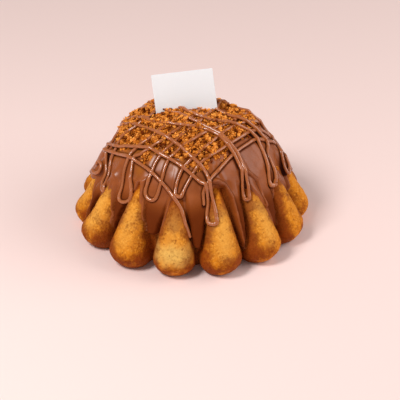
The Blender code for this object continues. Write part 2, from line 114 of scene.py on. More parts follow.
def domeFrame(arc):
    # radius and height on the dome, and the outward direction there, from 1 mm ahead and behind
    radius = np.interp(arc, meridianArc, meridianR)
    height = np.interp(arc, meridianArc, meridianZ)
    ahead = np.clip(arc + 1.0, 0.0, meridianArc[-1])
    behind = np.clip(arc - 1.0, 0.0, meridianArc[-1])
    alongR = np.interp(ahead, meridianArc, meridianR) - np.interp(behind, meridianArc, meridianR)
    alongZ = np.interp(ahead, meridianArc, meridianZ) - np.interp(behind, meridianArc, meridianZ)
    outR = -alongZ
    outZ = alongR * smoothStep(*dome["sideways"], height)
    length = np.hypot(outR, outZ)
    return radius, height, outR / length, outZ / length


def domePoint(azimuth, arc, rise):
    radius, height, outR, outZ = domeFrame(arc)
    radius = radius + rise * outR
    return np.stack((radius * np.sin(azimuth), -radius * np.cos(azimuth), height + rise * outZ), -1)


def unrolled(azimuth, arc):
    # a place seen from the apex on the unrolled dome: how far right, how far back
    return arc * np.sin(azimuth), -arc * np.cos(azimuth)


def rolledUp(right, back):
    return np.arctan2(right, -back), np.hypot(right, back)


def flatLumps(right, back, size, seed):
    return lumps(np.stack((right, back, np.zeros_like(right)), -1), size, seed)


def turnBetween(azimuth, other):
    return (azimuth - other + math.pi) % (2.0 * math.pi) - math.pi


def sideSlump(azimuth, height):
    turn = np.degrees(turnBetween(azimuth, 0.0))
    return (inBand(height, *dome["slumpBand"]) * np.interp(turn, dome["slumpAt"], dome["slump"])
            + inBand(height, *dome["topSlumpBand"]) * np.interp(turn, dome["topSlumpAt"], dome["topSlump"]))


def meshPiece(name, points, triangles, material, values=None, smooth=True):
    mesh = bpy.data.meshes.new(name)
    mesh.from_pydata((np.asarray(points) * mm).tolist(), [], np.asarray(triangles).tolist())
    mesh.validate()
    if smooth:
        mesh.shade_smooth()
    for label, numbers in (values or {}).items():
        layer = mesh.attributes.new(label, "FLOAT", "POINT")
        layer.data.foreach_set("value", np.asarray(numbers, np.float32))
    mesh.materials.append(material)
    piece = bpy.data.objects.new(name, mesh)
    scene.collection.objects.link(piece)
    print(name, len(mesh.polygons), "faces")
    return piece


def ringTriangles(lowStart, lowCount, highStart, highCount):
    # between two rings, where the upper one may have half as many points
    i = np.arange(highCount)
    j = (i + 1) % highCount
    if lowCount == highCount:
        a, b, c, d = lowStart + i, lowStart + j, highStart + j, highStart + i
        return np.concatenate((np.stack((a, b, c), -1), np.stack((a, c, d), -1)))
    a, b, c = lowStart + 2 * i, lowStart + 2 * i + 1, lowStart + (2 * i + 2) % lowCount
    d, e = highStart + i, highStart + j
    return np.concatenate((np.stack((a, b, d), -1), np.stack((b, e, d), -1), np.stack((b, c, e), -1)))


def domeSheet(arcs, columns):
    # azimuths, arcs and triangles of a grid over the dome; where its columns are crowded
    # to under half their width at the foot, every other one ends
    azimuths, places, triangles = [], [], []
    start, count = 0, columns
    before = None
    for arc in arcs:
        radius = float(np.interp(arc, meridianArc, meridianR))
        if before is not None and count % 2 == 0 and radius < 0.5 * dome["radius"] * count / columns:
            count //= 2
        turns = np.arange(count) * 2.0 * math.pi / count - math.pi
        azimuths.append(turns)
        places.append(np.full(count, arc))
        if before is not None:
            triangles.append(ringTriangles(before[0], before[1], start, count))
        before = (start, count)
        start += count
    # one point at the apex closes the top
    azimuths.append(np.zeros(1))
    places.append(np.full(1, 0.01))
    ring, count = before
    i = np.arange(count)
    triangles.append(np.stack((ring + i, ring + (i + 1) % count, np.full(count, start)), -1))
    return np.concatenate(azimuths), np.concatenate(places), np.concatenate(triangles)


def newMaterial(name):
    material = bpy.data.materials.new(name)
    material.use_nodes = True
    tree = material.node_tree
    return material, tree, tree.nodes["Principled BSDF"]


def join(tree, *pairs):
    for source, target in pairs:
        tree.links.new(source, target)


def noiseNode(tree, vector, scale, detail=3.0, roughness=0.55):
    node = tree.nodes.new("ShaderNodeTexNoise")
    node.inputs["Scale"].default_value = scale
    node.inputs["Detail"].default_value = detail
    node.inputs["Roughness"].default_value = roughness
    join(tree, (vector, node.inputs["Vector"]))
    return node.outputs["Fac"]


def rangeNode(tree, value, low, high, toLow=0.0, toHigh=1.0):
    node = tree.nodes.new("ShaderNodeMapRange")
    node.interpolation_type = "SMOOTHSTEP"
    for label, number in (("From Min", low), ("From Max", high), ("To Min", toLow), ("To Max", toHigh)):
        node.inputs[label].default_value = number
    join(tree, (value, node.inputs["Value"]))
    return node.outputs["Result"]


def mathNode(tree, operation, a, b):
    node = tree.nodes.new("ShaderNodeMath")
    node.operation = operation
    for socket, value in zip(node.inputs, (a, b)):
        if isinstance(value, (int, float)):
            socket.default_value = value
        else:
            join(tree, (value, socket))
    return node.outputs[0]


def mixNode(tree, factor, first, second):
    node = tree.nodes.new("ShaderNodeMix")
    node.data_type = "RGBA"
    for socket, value in ((node.inputs[0], factor), (node.inputs[6], first), (node.inputs[7], second)):
        if isinstance(value, tuple):
            socket.default_value = (*value, 1.0)
        elif isinstance(value, (int, float)):
            socket.default_value = value
        else:
            join(tree, (value, socket))
    return node.outputs[2]


def finishWith(tree, shader, colour, roughness, normal):
    join(tree, (colour, shader.inputs["Base Color"]), (roughness, shader.inputs["Roughness"]),
         (normal, shader.inputs["Normal"]))


def valueOf(tree, label):
    node = tree.nodes.new("ShaderNodeAttribute")
    node.attribute_name = label
    return node.outputs["Fac"]


def placeOf(tree):
    return tree.nodes.new("ShaderNodeTexCoord").outputs["Object"]


def bumpNode(tree, height, strength, distance, normal=None):
    node = tree.nodes.new("ShaderNodeBump")
    node.inputs["Strength"].default_value = strength
    node.inputs["Distance"].default_value = distance
    join(tree, (height, node.inputs["Height"]))
    if normal is not None:
        join(tree, (normal, node.inputs["Normal"]))
    return node.outputs["Normal"]


def makeMottleGroup():
    # uneven tone and the small relief that goes with it, for every material of the cake and the card
    group = bpy.data.node_groups.new("mottle", "ShaderNodeTree")
    for label, number in (("Patch Scale", 60.0), ("Grain Scale", 700.0), ("Grain Share", 0.5)):
        socket = group.interface.new_socket(label, in_out="INPUT", socket_type="NodeSocketFloat")
        socket.default_value = number
    for label in ("Tone", "Height"):
        group.interface.new_socket(label, in_out="OUTPUT", socket_type="NodeSocketFloat")
    inside = group.nodes.new("NodeGroupInput")
    outside = group.nodes.new("NodeGroupOutput")
    place = placeOf(group)
    patch = noiseNode(group, place, 60.0, 3.0, 0.6)
    grain = noiseNode(group, place, 700.0, 2.0, 0.6)
    join(group, (inside.outputs["Patch Scale"], patch.node.inputs["Scale"]),
         (inside.outputs["Grain Scale"], grain.node.inputs["Scale"]))
    mixed = group.nodes.new("ShaderNodeMix")
    join(group, (inside.outputs["Grain Share"], mixed.inputs[0]), (patch, mixed.inputs[2]),
         (grain, mixed.inputs[3]), (mixed.outputs[0], outside.inputs["Tone"]),
         (grain, outside.inputs["Height"]))
    return group


mottleGroup = makeMottleGroup()


def mottle(tree, patchScale, grainScale, grainShare):
    node = tree.nodes.new("ShaderNodeGroup")
    node.node_tree = mottleGroup
    node.inputs["Patch Scale"].default_value = patchScale
    node.inputs["Grain Scale"].default_value = grainScale
    node.inputs["Grain Share"].default_value = grainShare
    return node.outputs["Tone"], node.outputs["Height"]


# the sponge, with a lobe for each flute of the tin
sponge = {
    "lobesAt": (-113, -86, -64, -36.5, -9.5, 17.5, 44, 69, 92.5, 115.5, 142.5, 170, 197, 224),
    # how far out each foot stands, and over which heights that ends
    "push": (0, 0, 2.0, 1.5, -1.2, 0.3, 0.8, 1.6, 2.0, 1.0, 0, 1.0, 0, 0),
    "pushFade": (14.0, 46.0),
    # how many degrees round each leans above its foot, and over which heights it does
    "lean": (0, 0, 3.0, 0, 0, 0, 0, 0, 0, 0, 0, 0, 0, 0),
    "leanHeights": (8.0, 32.0),
    "bulbHeight": 17.0,
    "bulbRadius": 17.2,
    "bulbAxis": 83.4,
    "turnHeight": 24.0,      # from here down the foot turns in
    "turnRadius": 19.3,
    "turnBlend": 3.0,
    "footReach": (7.5, 2.0),     # what is left of that at the floor, outwards, and how late it turns
    "footWidth": (12.5, 2.6),    # the same sideways
    "tipHeight": 84.0,
    "taper": 1.25,
    "tipRadius": 4.0,
    "grooveTop": 3.5,
    "grooveBase": 29.0,
    "grooveSlope": 1.5,
    "grooveBlend": 3.0,
    "skin": 3.2,             # how much lower the upper part lies, under the chocolate
    "skinHeights": (52.0, 76.0),
    "swell": ((0.35, 26.0), (0.16, 8.0), (0.07, 3.2)),   # uneven relief: height, size
    "inset": 0.4,            # how much smaller the whole is, to leave room for that
    "columns": 784,
    "step": 0.9,
    "coveredFrom": 88.0,     # chocolate hides everything above, so the mesh is coarse there
    "coveredStep": 4.0,
    # how brown each lobe is baked, all over and at its foot; lobe 8 is made paler all over as painted light
    # against the shade it lies in
    "bake": (0.10, 0.0, -0.16, -0.06, 0.06, 0.02, 0.02, 0.12, -0.4, 0.10, 0.05, 0.10, 0.0, 0.10),
    "footBake": (0.5, 0.45, 0.85, 0.60, 0.42, 0.55, 0.45, 0.45, 0.4, 0.5, 0.4, 0.1, 0.5, 0.6),
    "footBakeHeights": (6.0, 32.0),
    "tipBake": 0.62,
    "tipBakeHeights": (29.0, 60.0),
    "flankBakeAndShade": (0.85, 0.5),    # on the left and the right flank: partly baked colour, partly painted shade
    "flankStart": (0.08, 0.3),   # how near the crest it begins, left of the left lobes, where it is painted shade, and elsewhere
    # painted shade deep in the creases between the lobes
    "creaseShade": 0.45,
    "crease": (0.85, 1.1),       # how far from the crest, in half widths of the lobe
    "patches": ((0.20, 34.0), (0.17, 11.0), (0.07, 4.5)),    # uneven browning: share, size
    # how pale the painted highlight on each crest is, in which band of heights, where sideways and how wide
    "crestHighlightShare": (0.1, 0.35, 0.45, 0.35, 0.3, 0.45, 0.4, 0.1, 0.1, 0.2, 0.3, 0.3, 0.3, 0.2),
    "crestBand": (14.0, 30.0, 46.0, 66.0),
    "crestAt": 0.5,
    "crestWidth": 8.0,
    # spots that took hardly any colour, and spots that took more than the rest:
    # lobe, height, sideways, half width, half length, share
    "creamSpots": ((4, 24, 0, 14, 8, 0.85), (11, 16, 0, 11, 9, 0.6)),
    # the last brown spot, on lobe 4's right flank, is painted shade
    "brownSpots": ((2, 27, -2, 16, 14, 0.45), (5, 22, 0, 7, 6, 0.45), (3, 13, 0, 12, 5, 0.2),
                   (3, 22, -8, 6, 12, 0.25), (4, 48, 0, 7, 9, 0.3), (4, 26, 11, 4, 14, 0.25)),
    "golden": (0.67, 0.216, 0.006),
    "brown": (0.26, 0.046, 0.002),
    "pale": (0.90, 0.49, 0.100),
    "cream": (0.78, 0.47, 0.115),
    "pore": (0.34, 0.074, 0.003),
    "poreShare": 0.66,
    "pit": (0.24, 0.044, 0.002),
    "pitShare": 0.45,
    "paleBake": (0.4, 0.5),      # how much less brown the painted highlight on the crests and the cream spots are
    # noise: scale, detail, and roughness
    "crust": (540.0, 3.0, 0.75),
    "poreGroups": (120.0, 2.0),
    "pits": (260.0, 1.0),
    "mottle": (80.0, 560.0, 0.42),
    "roughness": (0.62, 0.8),
    "grainRelief": 0.8,
    "bump": (0.8, 0.0005),
    "shine": 0.1,
}
lobeTurns = np.radians(sponge["lobesAt"])
grooveTurns = (lobeTurns + np.append(lobeTurns[1:], lobeTurns[0] + 2.0 * math.pi)) / 2.0


def grooveDepth(height):
    down = np.clip(1.0 - height / dome["height"], 0.0, 1.0)
    return sponge["grooveTop"] + sponge["grooveBase"] * down ** 2


def turnedIn(height, foot, power):
    wide = sponge["turnRadius"]
    drop = np.clip((sponge["turnHeight"] - height) / sponge["turnHeight"], 0.0, 1.0)
    return np.sqrt(wide ** 2 - (wide ** 2 - foot ** 2) * drop ** power)


def lobeRadius(height):
    bulb, tip = sponge["bulbRadius"], sponge["tipRadius"]
    fade = np.clip((sponge["tipHeight"] - height) / (sponge["tipHeight"] - sponge["bulbHeight"]), 0.0, None)
    tapered = tip + (bulb - tip) * fade ** sponge["taper"]
    return -smoothMax(-tapered, -turnedIn(height, *sponge["footWidth"]), sponge["turnBlend"])


def nearestLobe(azimuth, height):
    # its number, and how far round from its crest the place is
    upper = smoothStep(*sponge["leanHeights"], height)
    leans = np.radians(sponge["lean"])
    turns = np.array([turnBetween(azimuth, lobe + lean * upper) for lobe, lean in zip(lobeTurns, leans)])
    which = np.argmin(np.abs(turns), axis=0)
    return which, np.take_along_axis(turns, which[None], 0)[0]


def spongeRise(azimuth, arc):
    radius, height, _, _ = domeFrame(arc)
    width = lobeRadius(height)
    which, turn = nearestLobe(azimuth, height)
    crest = -sponge["skin"] * smoothStep(*sponge["skinHeights"], height)
    foot = sponge["bulbAxis"] + turnedIn(height, *sponge["footReach"]) - radius
    crest = -smoothMax(-crest, -foot, sponge["turnBlend"])
    crest = crest + np.array(sponge["push"])[which] * (1.0 - smoothStep(*sponge["pushFade"], height))
    axis = radius + crest - width
    # a round lobe about that axis, and beyond its width a slope down into the groove
    reach = width ** 2 - (axis * np.abs(turn)) ** 2
    bulge = np.sqrt(np.abs(reach)) * np.where(reach > 0.0, 1.0, -sponge["grooveSlope"])
    lobe = crest - width + bulge
    return smoothMax(lobe, -grooveDepth(height), sponge["grooveBlend"]) - sideSlump(azimuth, height)


def spongeSkin(azimuth, arc):
    # the sponge with its baked unevenness
    swell = layeredLumps(domePoint(azimuth, arc, 0.0), sponge["swell"], 11)
    return spongeRise(azimuth, arc) + swell - sponge["inset"]


def spongeMaterial():
    material, tree, shader = newMaterial("bakedSponge")
    place = placeOf(tree)
    tone, grain = mottle(tree, *sponge["mottle"])
    # the browning carries the painted shade of the flanks and creases too
    brown = mathNode(tree, "ADD", valueOf(tree, "browningAndShade"), rangeNode(tree, tone, 0.34, 0.66, -0.2, 0.2))
    colour = mixNode(tree, rangeNode(tree, brown, -0.05, 0.95), sponge["golden"], sponge["brown"])
    # the painted highlight along each lobe's crest
    colour = mixNode(tree, valueOf(tree, "crestHighlight"), colour, sponge["pale"])
    colour = mixNode(tree, valueOf(tree, "creaminess"), colour, sponge["cream"])
    # open pores, most of them where it is brown, and the pale crust between them
    crust = noiseNode(tree, place, *sponge["crust"])
    sparse = rangeNode(tree, noiseNode(tree, place, *sponge["poreGroups"]), 0.36, 0.6)
    pores = mathNode(tree, "MULTIPLY", rangeNode(tree, crust, 0.50, 0.63), sparse)
    pores = mathNode(tree, "MULTIPLY", pores, rangeNode(tree, brown, -0.2, 0.6, 0.4, 1.0))
    colour = mixNode(tree, mathNode(tree, "MULTIPLY", pores, sponge["poreShare"]), colour, sponge["pore"])
    light = mathNode(tree, "MULTIPLY", rangeNode(tree, crust, 0.34, 0.48, 0.35, 0.0),
                     rangeNode(tree, brown, 0.1, 0.7, 1.0, 0.15))
    colour = mixNode(tree, light, colour, sponge["pale"])
    # a few deeper pits
    pits = rangeNode(tree, noiseNode(tree, place, *sponge["pits"]), 0.66, 0.73, 0.0, sponge["pitShare"])
    colour = mixNode(tree, pits, colour, sponge["pit"])
    relief = mathNode(tree, "SUBTRACT", mathNode(tree, "MULTIPLY", grain, sponge["grainRelief"]), pores)
    relief = mathNode(tree, "SUBTRACT", relief, pits)
    finishWith(tree, shader, colour, rangeNode(tree, tone, 0.3, 0.7, *sponge["roughness"]),
               bumpNode(tree, relief, *sponge["bump"]))
    shader.inputs["Specular IOR Level"].default_value = sponge["shine"]
    return material


def spotsOf(spots, which, side, height):
    total = np.zeros(len(height))
    for lobe, up, aside, wide, tall, share in spots:
        spot = np.exp(-np.abs((side - aside) / wide) ** 3 - np.abs((height - up) / tall) ** 3)
        total += np.where(which == lobe, share * spot, 0.0)
    return total


def spongeBaking(points, azimuth, arc):
    # how brown each place came out, with painted shade on its flanks and in the creases, how pale with the
    # painted highlight on the crests, and how creamy
    height = points[:, 2]
    _, level, _, _ = domeFrame(arc)
    which, turn = nearestLobe(azimuth, level)
    tip = smoothStep(*sponge["tipBakeHeights"], height)
    brown = np.array(sponge["bake"])[which] + sponge["tipBake"] * tip
    foot = 1.0 - smoothStep(*sponge["footBakeHeights"], height)
    brown = brown + np.array(sponge["footBake"])[which] * foot
    across = np.abs(turn) * sponge["bulbAxis"] / lobeRadius(level)
    # browner flanks, partly baked colour and partly painted shade, reaching nearer the crest on the left
    # flanks of the left lobes
    leftSide = (turn < 0.0) & (azimuth < 0.0)
    start = np.where(leftSide, *sponge["flankStart"])
    brown = brown + np.where(turn <= 0.0, *sponge["flankBakeAndShade"]) * smoothStep(start, 1.0, across)
    # painted shade in the creases between the lobes
    brown = brown + sponge["creaseShade"] * smoothStep(*sponge["crease"], across)
    brown = brown + layeredLumps(points, sponge["patches"], 21)
    side = turn * sponge["bulbAxis"]
    # a painted highlight along the crest of each lobe
    aside = (side - sponge["crestAt"]) / sponge["crestWidth"]
    crest = inBand(height, *sponge["crestBand"]) * np.exp(-aside ** 2)
    pale = np.array(sponge["crestHighlightShare"])[which] * crest
    # the edge of a pale spot is uneven
    cream = spotsOf(sponge["creamSpots"], which, side, height + 1.2 * lumps(points, 9.0, 24))
    brown = brown + spotsOf(sponge["brownSpots"], which, side, height)
    lessPale, lessCream = sponge["paleBake"]
    return np.clip(brown - lessPale * pale - lessCream * cream, 0.0, 1.0), pale, cream


def makeSponge():
    columns = sponge["columns"]
    covered = float(arcAtHeight(sponge["coveredFrom"]))
    arcs = np.concatenate((np.arange(meridianArc[-1], covered, -sponge["step"]),
                           np.arange(covered, 3.0, -sponge["coveredStep"])))
    azimuth, arc, triangles = domeSheet(arcs, columns)
    points = domePoint(azimuth, arc, spongeSkin(azimuth, arc))
    points[:columns, 2] = 0.0
    brown, pale, cream = spongeBaking(points, azimuth, arc)
    # the flat underside, as brown as can be
    base = len(points)
    points = np.vstack((points, (0.0, 0.0, 0.0)))
    i = np.arange(columns)
    underside = np.stack((np.roll(i, -1), i, np.full(columns, base)), -1)
    values = {"browningAndShade": np.append(brown, 1.0), "crestHighlight": np.append(pale, 0.0),
              "creaminess": np.append(cream, 0.0)}
    piece = meshPiece("spongeCake", points, np.vstack((triangles, underside)), spongeMaterial(), values)
    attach(piece, "root")
    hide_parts("sponge")


# the poured chocolate
pour = {
    "thickness": 3.1,
    "flankThickness": 1.9,   # where it runs down beside a bare lobe
    "flankFade": (-4.0, 9.0),
    "lipWidth": 1.7,
    "rounding": 6.0,         # of a tongue's end
    "blend": 2.4,            # between the coat on the lobes and the filled grooves
    # how much wider each tongue gets upwards, over what length, and the arc where they begin
    "dripFlare": (1.6, 1.7, 2.2, 1.0, 1.0, 1.0, 1.0, 1.0, 1.0, 1.0, 1.0, 1.0, 1.0, 1.0),
    "flareLength": 60.0,
    "dripTopArc": 48.0,
    "dripBlend": 2.5,
    # the chocolate fills the grooves to this far below the dome, by height
    "fillAt": (0, 18, 26, 34, 42, 50, 58, 66, 74, 82, 106),
    "fillDepth": (24.0, 14.5, 10.5, 7.8, 6.0, 4.8, 3.9, 2.9, 1.6, 0.4, 0.2),
    "proudFade": (45.0, 62.0),   # heights over which tongues stop standing proud
    # where each lobe comes out of the chocolate, how far aside, and how steeply the bare part widens
    "edgeHeight": (22, 45, 60, 71, 66, 74, 67, 58, 45, 36, 50, 61, 46, 58),
    "edgeTurn": (0, 0, 2.0, -1.2, 0, 0, -1.8, -2.2, 0, 0, 0, 0, 0, 0),
    "edgeTurnHeights": (15.0, 55.0),
    "edgeSlope": 3.0,
    "edgeTip": 1.4,
    "edgeBlend": 1.5,
    "edgeRounding": (1.5, 3.0),  # of the filled grooves beside the bare lobes: from, over what width
    "wander": ((0.45, 22.0), (0.2, 8.0)),    # of all edges: distance, size
    "waves": ((0.28, 30.0), (0.10, 11.0)),   # over the coat: height, size
    # after each lobe: tip height, half width, turn in degrees, how proud it stands
    "drips": ((24, 8.0, 0, 1), (10, 7.5, 3.2, 6.2), (12, 6.5, 4.6, 2.5), (31, 9.0, 0, 0.8),
              (22, 7.0, 0.3, 0.6), (4, 3.4, 0.6, 2.8), (17, 9.0, -3.0, 1.2), (33, 8.0, 0, 0.5),
              (24, 7.0, 0, 0), (44, 6.0, 0, 0), (16, 6.0, 1, 0), (34, 8.5, 0, 0.6),
              (22, 5.0, -1, 0), (30, 7.0, 0, 0)),
    # two thick runs and three lips that stand out of the coat: places (right, back) of the apex
    # on the unrolled dome, half width, height
    "runs": ((((12, -75), (19, -71), (26, -70), (34, -72), (42, -79),
               (48, -88), (55, -100), (64, -112), (72, -122)), 1.9, 3.8),
             (((46, -55), (54, -53), (66, -54), (77, -63), (83, -75), (92, -84)), 1.8, 2.6),
             (((-58, -56), (-53, -61), (-47, -65), (-39, -64)), 2.4, 1.3),
             (((24, -58), (31, -66), (36, -76)), 2.0, 0.9),
             (((-78, -36), (-74, -48), (-76, -62)), 2.4, 1.0)),
    "runRounding": 2.0,
    "dive": (1.3, 4.0),      # how steeply and how deep the coat goes into the sponge past its edge
    "hiddenBelow": -1.2,     # the mesh ends where it has sunk that far
    "belowTips": 6.0,        # and this far under the lowest tip
    "columns": 784,
    "step": 0.8,
    "colour": (0.33, 0.082, 0.014),
    # deep is the darker chocolate of the uneven patches and of the painted shade in the grooves and beside
    # strands
    "deep": (0.13, 0.021, 0.0005),
    "deepFrom": (4.0, -22.0),    # how far above the upper edge the painted shade of the grooves begins, and where it is full
    "creviceShadeReach": 4.2,     # how far the painted shade goes beside a strand
    "thickRuns": 2,          # the first of the runs, which have painted shade along their sides,
    "besideRun": (0.03, 0.4, 0.6, 1.8),    # where they are this high
    "runShadeShare": 0.6,
    "ridge": 2.5,            # a run this high gets almost none of the painted shade of the grooves
    # painted shade beside strands and thick runs: how strong, how fast it fades, its colour
    "creviceShadeShare": 0.9,
    "creviceShadeFade": 1.7,      # how fast that painted shade fades
    "creviceShadeColour": (0.03, 0.003, 0.0002),
    "dustSpread": 0.84,      # crumb dust lies a little beyond the crumbs,
    "dustTurn": (0.6, -0.6),     # from none at this azimuth in radians to all at that
    "dustShare": 0.7,
    "dustColour": (0.36, 0.105, 0.004),
    "mottle": (28.0, 260.0, 0.2),
    "deepPatches": 0.45,
    "fineBump": (0.12, 0.0004),
    "bump": (0.25, 0.0008),
    "roughness": 0.42,
    "shine": 0.10,
    "gloss": 0.52,
    "glossRoughness": 0.30,
    "relief": 1.0,
}


def edgeDistances(azimuth, arc):
    # how far inside the chocolate's lower edge a place is: its even upper part, that with
    # the tongues, and outside the bare lobes; last, how proud the nearest tongue stands
    radius, height, _, _ = domeFrame(arc)
    edges = arcAtHeight(pour["edgeHeight"])
    turns = np.concatenate((lobeTurns - 2.0 * math.pi, lobeTurns, lobeTurns + 2.0 * math.pi))
    cap = np.interp(azimuth, turns, np.tile(edges, 3)) - arc
    tongues = cap
    proud = np.zeros_like(arc)
    for middle, drip, flare in zip(grooveTurns, pour["drips"], pour["dripFlare"]):
        tipHeight, halfWidth, turn, stand = drip
        across = radius * turnBetween(azimuth, middle + math.radians(turn))
        tipMiddle = float(arcAtHeight(tipHeight)) - halfWidth
        above = np.clip(tipMiddle - arc, 0.0, None)
        below = np.clip(arc - tipMiddle, 0.0, None)
        inside = halfWidth * (1.0 + flare * above / pour["flareLength"]) - np.hypot(across, below)
        tongues = np.where(arc < pour["dripTopArc"], tongues, smoothMax(tongues, inside, pour["dripBlend"]))
        proud = proud + stand * np.exp(-(across / halfWidth) ** 2)
    slope, tip = pour["edgeSlope"], pour["edgeTip"]
    bare = np.full_like(arc, far)
    upper = smoothStep(*pour["edgeTurnHeights"], height)
    for edge, lobe, turn in zip(edges, lobeTurns, np.radians(pour["edgeTurn"])):
        across = radius * turnBetween(azimuth, lobe + turn * upper)
        away = np.sqrt(across ** 2 + tip ** 2)
        notch = (edge + slope * (away - tip) - arc) / np.sqrt(1.0 + (slope * across / away) ** 2)
        bare = -smoothMax(-bare, -notch, pour["edgeBlend"])
    return cap, tongues, bare, proud


def runHeight(azimuth, arc, runs):
    place = np.stack(unrolled(azimuth, arc), -1)
    height = np.zeros_like(arc)
    for path, wide, high in runs:
        near = np.full_like(arc, far)
        for start, end in zip(path, path[1:]):
            start, way = np.array(start, float), np.subtract(end, start).astype(float)
            along = np.clip((place - start) @ way / (way @ way), 0.0, 1.0)
            near = np.minimum(near, np.linalg.norm(place - start - along[..., None] * way, axis=-1))
        height = np.maximum(height, high * np.exp(-(near / wide) ** 2))
    return height


def coatSkin(azimuth, arc):
    # the chocolate's rise over the dome, and how far it lies over the sponge
    _, height, _, _ = domeFrame(arc)
    place = domePoint(azimuth, arc, 0.0)
    cap, tongues, bare, proud = edgeDistances(azimuth, arc)
    wander = layeredLumps(place, pour["wander"], 31)
    tongues, bare = tongues + wander, bare + wander
    inside = -smoothMax(-tongues, -bare, 1.0)
    under = spongeRise(azimuth, arc)
    thicker = (pour["thickness"] - pour["flankThickness"]) * smoothStep(*pour["flankFade"], cap)
    skin = under + (pour["flankThickness"] + thicker) * roundEdge(inside, pour["lipWidth"])
    depth = grooveDepth(height)
    filled = depth - np.interp(height, pour["fillAt"], pour["fillDepth"])
    filled = filled + proud * (1.0 - smoothStep(*pour["proudFade"], height))
    early, width = pour["edgeRounding"]
    filled = filled * roundEdge(tongues, pour["rounding"]) * roundEdge(bare + early, width)
    coat = smoothMax(skin, filled - depth - sideSlump(azimuth, height), pour["blend"])
    coat = coat + layeredLumps(place, pour["waves"], 33)
    coat = coat + runHeight(azimuth, arc, pour["runs"]) * roundEdge(inside, pour["runRounding"])
    # outside the edge it dives into the sponge
    steep, deepest = pour["dive"]
    hidden = under - np.clip(-steep * inside, 0.0, deepest)
    rise = np.where(inside > 0.0, coat, hidden)
    return rise, rise - under


def chocolateMaterial(name, finish, uneven=False):
    # uneven chocolate has mesh values for the painted shade in the grooves and beside strands (thickness),
    # the painted shade beside strands and thick runs, and dust
    material, tree, shader = newMaterial(name)
    tone, grain = mottle(tree, *pour["mottle"])
    dark = rangeNode(tree, tone, 0.32, 0.68, pour["deepPatches"], 0.0)
    dull = rangeNode(tree, tone, 0.3, 0.7, finish["roughness"] - 0.05, finish["roughness"] + 0.07)
    shader.inputs["Coat Weight"].default_value = finish["gloss"]
    if uneven:
        # thickness is painted shade: it darkens the colour and dulls the gloss
        thick = valueOf(tree, "thickness")
        dark = mathNode(tree, "MAXIMUM", dark, thick)
        dull = mathNode(tree, "ADD", dull, rangeNode(tree, thick, 0.0, 0.7, 0.0, 0.35))
        join(tree, (rangeNode(tree, thick, 0.0, 0.7, finish["gloss"], 0.0), shader.inputs["Coat Weight"]))
    colour = mixNode(tree, dark, finish["colour"], finish["deep"])
    if uneven:
        colour = mixNode(tree, valueOf(tree, "dust"), colour, finish["dustColour"])
        # painted shade beside strands and thick runs
        colour = mixNode(tree, valueOf(tree, "creviceShade"), colour, finish["creviceShadeColour"])
    strength, deep = pour["fineBump"]
    fine = bumpNode(tree, grain, strength * finish["relief"], deep)
    strength, deep = pour["bump"]
    finishWith(tree, shader, colour, dull, bumpNode(tree, tone, strength * finish["relief"], deep, fine))
    shader.inputs["Specular IOR Level"].default_value = finish["shine"]
    shader.inputs["Coat Roughness"].default_value = finish["glossRoughness"]
    return material


def strandDistance(right, back, strands):
    tree = kdtree.KDTree(len(strands))
    for number, place in enumerate(strands):
        tree.insert((place[0], place[1], 0.0), number)
    tree.balance()
    return np.array([tree.find((x, y, 0.0))[2] for x, y in zip(right, back)])


def coatShading(azimuth, arc, over, strands):
    # painted shade: dark in the grooves, darkest beside strands and thick runs; dusty near the crumbs
    right, back = unrolled(azimuth, arc)
    cap, _, _, _ = edgeDistances(azimuth, arc)
    # painted shade beside the strands, and beside the thick runs
    creviceShade = 1.0 - smoothStep(1.0, pour["creviceShadeReach"], strandDistance(right, back, strands))
    thickRun = runHeight(azimuth, arc, pour["runs"][:pour["thickRuns"]])
    beside = inBand(thickRun, *pour["besideRun"]) * smoothStep(0.5, 2.0, over)
    creviceShade = np.maximum(creviceShade, pour["runShadeShare"] * beside)
    ridge = np.clip(runHeight(azimuth, arc, pour["runs"]) / pour["ridge"], 0.0, 1.0) * (1.0 - beside)
    # painted shade where the chocolate lies thick in the grooves, little of it on the proud runs
    thick = smoothStep(*pour["deepFrom"], cap) * smoothStep(0.5, 3.0, over) * (1.0 - 0.9 * ridge)
    spread = pour["dustSpread"]
    dust = crumbDensity(spread * right, spread * back) * smoothStep(*pour["dustTurn"], azimuth)
    dust = pour["dustShare"] * dust
    dark = pour["creviceShadeShare"] * creviceShade ** pour["creviceShadeFade"]
    return {"thickness": np.maximum(thick, creviceShade), "creviceShade": dark, "dust": dust}


def makeCoat(strands):
    low = float(arcAtHeight(min(tip for tip, _, _, _ in pour["drips"]) - pour["belowTips"]))
    azimuth, arc, triangles = domeSheet(np.arange(low, 1.0, -pour["step"]), pour["columns"])
    rise, over = coatSkin(azimuth, arc)
    kept = triangles[np.max(over[triangles], axis=1) > pour["hiddenBelow"]]
    used, flat = np.unique(kept, return_inverse=True)
    azimuth, arc = azimuth[used], arc[used]
    piece = meshPiece("pouredChocolate", domePoint(azimuth, arc, rise[used]), flat.reshape(kept.shape),
                      chocolateMaterial("milkChocolate", pour, True),
                      coatShading(azimuth, arc, over[used], strands))
    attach(piece, "root")
    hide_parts("chocolate_coat")


